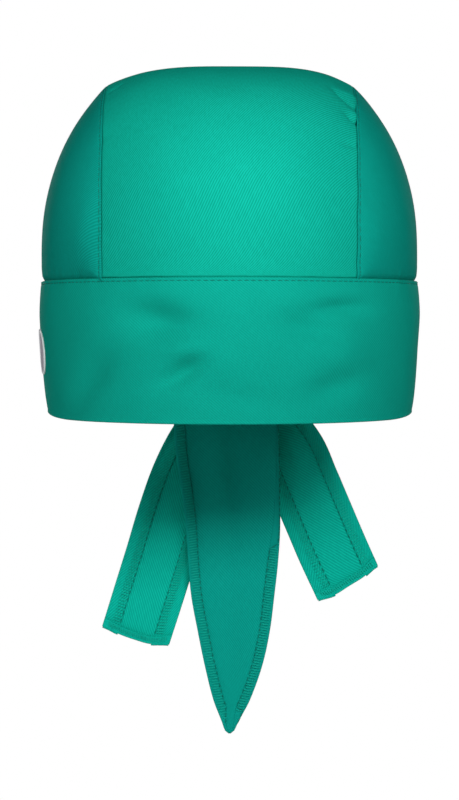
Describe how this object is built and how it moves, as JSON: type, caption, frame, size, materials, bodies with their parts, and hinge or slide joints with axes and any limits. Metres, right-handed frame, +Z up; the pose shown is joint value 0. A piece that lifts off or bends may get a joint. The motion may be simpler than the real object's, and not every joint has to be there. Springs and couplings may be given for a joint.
{
  "type": "chef bandana",
  "caption": "Pre-shaped cloth head wrap with a seamed crown, a standing front band, and ties knotted at the nape over a pointed tail.",
  "frame": {"origin": "middle of the head opening, at the height of the band's lower rim; the head holds it there", "axes": "+Z up through the crown; the forehead faces -Y and the knot and tail are at +Y; +X is to the right as seen from the front"},
  "size_m": [0.1702, 0.2186, 0.3164],
  "materials": {
    "crown_twill": "fine cotton and polyester twill, matt",
    "band_twill": "two layers of the same twill, topstitched, matt",
    "tie_twill": "single twill with folded, overlocked hems, matt",
    "label_cloth": "woven patch with a pale rim, left blank"
  },
  "bodies": {
    "root": {"crown_centre_panel": "crown_twill", "crown_side_panel_left": "crown_twill", "crown_side_panel_right": "crown_twill", "headband": "band_twill", "tie_wrap_left": "band_twill", "tie_wrap_right": "band_twill", "knot": "tie_twill", "tie_end_left": "tie_twill", "tie_end_right": "tie_twill", "tail": "tie_twill", "side_label": "label_cloth"}
  },
  "joints": []
}
